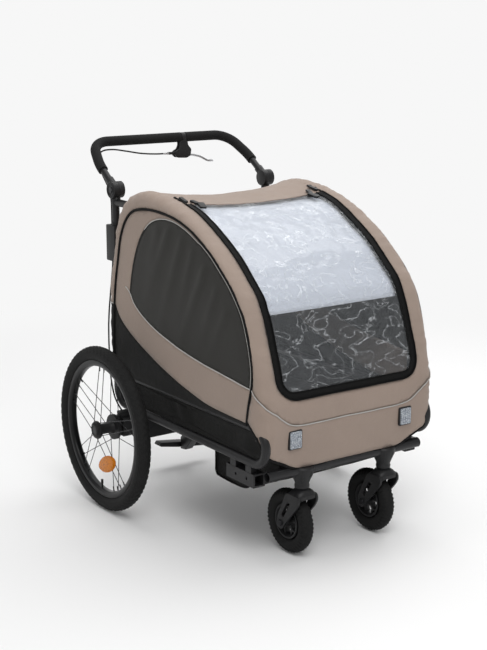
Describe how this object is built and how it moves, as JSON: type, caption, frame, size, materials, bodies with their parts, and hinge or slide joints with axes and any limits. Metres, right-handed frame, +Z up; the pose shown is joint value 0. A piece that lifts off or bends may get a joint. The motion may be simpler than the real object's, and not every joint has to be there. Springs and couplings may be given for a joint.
{
  "type": "child bicycle trailer",
  "caption": "Folding two-seat child bicycle trailer and stroller with large rear wheels, swivel casters, push handle, brake lever, fabric cabin and windows.",
  "frame": {"origin": "on the ground, under the middle of the trailer's overall box", "axes": "+X across to the right of someone facing the front window, +Y to the rear, +Z up"},
  "size_m": [0.861, 0.9945, 1.0884],
  "materials": {
    "tyre": "matt moulded rubber",
    "rim": "black satin anodised",
    "spoke_steel": "plain drawn wire",
    "hub_plastic": "moulded black",
    "orange_lens": "clear prismatic",
    "button_plastic": "moulded dark grey",
    "caster_plastic": "moulded black",
    "caster_rubber": "matt",
    "bolt_steel": "black zinc",
    "frame_tube": "dark grey satin powder coat",
    "black_cloth": "coarse woven polyester",
    "taupe_cloth": "woven polyester",
    "window_cloth": "fine dark mesh and film",
    "zip_tape": "zip tape",
    "clear_film": "clear soft film",
    "shade_cloth": "silver coated cloth",
    "seat_cloth": "padded polyester",
    "webbing": "woven webbing",
    "silver_lens": "prismatic",
    "foam": "soft foam",
    "lever_metal": "polished",
    "cable_sheath": "smooth sheath"
  },
  "bodies": {
    "chassis": {"side_loops": "frame_tube", "front_tube": "frame_tube", "axle_beam": "frame_tube", "axle_brackets": "frame_tube", "fold_pivots": "frame_tube", "tow_sockets": "frame_tube", "caster_housings": "caster_plastic", "front_panel": "taupe_cloth", "front_reflectors": "silver_lens", "side_panels": "black_cloth", "footwell": "black_cloth", "floor_panel": "black_cloth", "seat_cushion": "seat_cloth", "seat_back": "seat_cloth", "harness": "webbing", "fabric_cover": "taupe_cloth", "side_windows": "window_cloth", "window_border": "zip_tape", "front_window": "clear_film", "sunshade": "shade_cloth", "axle_cable": "cable_sheath"},
    "rear_wheel_left": {"rear_tyre_left": "tyre", "rear_rim_left": "rim", "rear_hub_left": "hub_plastic", "rear_spokes_left": "spoke_steel", "spoke_reflector_left": "orange_lens"},
    "wheel_button_left": {"wheel_button_left": "button_plastic"},
    "caster_left": {"caster_fork_left": "caster_plastic", "caster_axle_left": "bolt_steel"},
    "caster_wheel_left": {"caster_tyre_left": "caster_rubber", "caster_core_left": "caster_plastic"},
    "parking_pin_left": {"parking_pin_left": "bolt_steel"},
    "fold_latch_left": {"fold_latch_left": "caster_plastic"},
    "tilt_button_left": {"tilt_button_left": "button_plastic"},
    "rear_wheel_right": {"rear_tyre_right": "tyre", "rear_rim_right": "rim", "rear_hub_right": "hub_plastic", "rear_spokes_right": "spoke_steel", "spoke_reflector_right": "orange_lens"},
    "wheel_button_right": {"wheel_button_right": "button_plastic"},
    "caster_right": {"caster_fork_right": "caster_plastic", "caster_axle_right": "bolt_steel"},
    "caster_wheel_right": {"caster_tyre_right": "caster_rubber", "caster_core_right": "caster_plastic"},
    "parking_pin_right": {"parking_pin_right": "bolt_steel"},
    "fold_latch_right": {"fold_latch_right": "caster_plastic"},
    "tilt_button_right": {"tilt_button_right": "button_plastic"},
    "hoop": {"hoop_uprights": "frame_tube", "hoop_rails": "frame_tube", "hinge_bases": "caster_plastic", "hinge_cable": "cable_sheath", "hoop_cable": "cable_sheath"},
    "arches": {"front_arches": "frame_tube"},
    "handle": {"handlebar": "frame_tube", "handle_grips": "foam", "hinge_heads": "caster_plastic", "lever_clamp": "caster_plastic", "handle_cable": "cable_sheath"},
    "brake_lever": {"brake_lever": "lever_metal"},
    "parking_pedal": {"parking_pedal": "caster_plastic"}
  },
  "joints": [
    {"name": "rear_wheel_left_spin", "type": "hinge", "parent": "chassis", "child": "rear_wheel_left", "pos_m": [-0.397, 0.188, 0.25], "axis": [1, 0, 0], "continuous": true},
    {"name": "wheel_button_left_press", "type": "slide", "parent": "chassis", "child": "wheel_button_left", "axis": [1, 0, 0], "range_m": [0, 0.0025], "stiffness_N_per_m": 300},
    {"name": "caster_left_swivel", "type": "hinge", "parent": "chassis", "child": "caster_left", "pos_m": [-0.1455, -0.456, 0.2], "axis": [0, 0, 1], "continuous": true},
    {"name": "caster_wheel_left_spin", "type": "hinge", "parent": "caster_left", "child": "caster_wheel_left", "pos_m": [-0.1455, -0.405, 0.092], "axis": [1, 0, 0], "continuous": true},
    {"name": "parking_pin_left_slide", "type": "slide", "parent": "chassis", "child": "parking_pin_left", "axis": [-1, 0, 0], "range_m": [0, 0.008]},
    {"name": "rear_wheel_right_spin", "type": "hinge", "parent": "chassis", "child": "rear_wheel_right", "pos_m": [0.397, 0.188, 0.25], "axis": [1, 0, 0], "continuous": true},
    {"name": "wheel_button_right_press", "type": "slide", "parent": "chassis", "child": "wheel_button_right", "axis": [-1, 0, 0], "range_m": [0, 0.0025], "stiffness_N_per_m": 300},
    {"name": "caster_right_swivel", "type": "hinge", "parent": "chassis", "child": "caster_right", "pos_m": [0.1455, -0.456, 0.2], "axis": [0, 0, 1], "continuous": true},
    {"name": "caster_wheel_right_spin", "type": "hinge", "parent": "caster_right", "child": "caster_wheel_right", "pos_m": [0.1455, -0.405, 0.092], "axis": [1, 0, 0], "continuous": true},
    {"name": "parking_pin_right_slide", "type": "slide", "parent": "chassis", "child": "parking_pin_right", "axis": [1, 0, 0], "range_m": [0, 0.008]},
    {"name": "frame_fold", "type": "hinge", "parent": "chassis", "child": "hoop", "pos_m": [0, 0.3, 0.402], "axis": [1, 0, 0], "range_deg": [0, 61], "deforming": ["fabric_cover", "side_windows", "window_border", "front_window", "sunshade", "seat_back", "harness"]},
    {"name": "arch_fold", "type": "hinge", "parent": "chassis", "child": "arches", "pos_m": [0, -0.434, 0.362], "axis": [-1, 0, 0], "range_deg": [0, 33.15]},
    {"name": "handle_tilt", "type": "hinge", "parent": "hoop", "child": "handle", "pos_m": [0, 0.298, 0.947], "axis": [-1, 0, 0], "range_deg": [-130, 58], "deforming": ["hinge_cable"]},
    {"name": "brake_lever_pull", "type": "hinge", "parent": "handle", "child": "brake_lever", "pos_m": [0.084, 0.482, 1.019], "axis": [0, -1, 0], "range_deg": [0, 18], "stiffness_Nm_per_rad": 0.3},
    {"name": "parking_rock", "type": "hinge", "parent": "chassis", "child": "parking_pedal", "pos_m": [0, 0.386, 0.078], "axis": [0, -1, 0], "range_deg": [0, 16.8]},
    {"name": "fold_latch_left_lift", "type": "slide", "parent": "hoop", "child": "fold_latch_left", "axis": [0, 0, 1], "range_m": [0, 0.02], "stiffness_N_per_m": 150, "springref_m": -0.02},
    {"name": "tilt_button_left_press", "type": "slide", "parent": "handle", "child": "tilt_button_left", "axis": [1, 0, 0], "range_m": [0, 0.004], "stiffness_N_per_m": 300},
    {"name": "fold_latch_right_lift", "type": "slide", "parent": "hoop", "child": "fold_latch_right", "axis": [0, 0, 1], "range_m": [0, 0.02], "stiffness_N_per_m": 150, "springref_m": -0.02},
    {"name": "tilt_button_right_press", "type": "slide", "parent": "handle", "child": "tilt_button_right", "axis": [-1, 0, 0], "range_m": [0, 0.004], "stiffness_N_per_m": 300}
  ],
  "couplings": [
    {"joint": "arch_fold", "follows": "frame_fold", "ratio": 0.54286},
    {"joint": "parking_pin_left_slide", "follows": "parking_rock", "m_per_rad": 0.027274},
    {"joint": "parking_pin_right_slide", "follows": "parking_rock", "m_per_rad": 0.027274}
  ]
}
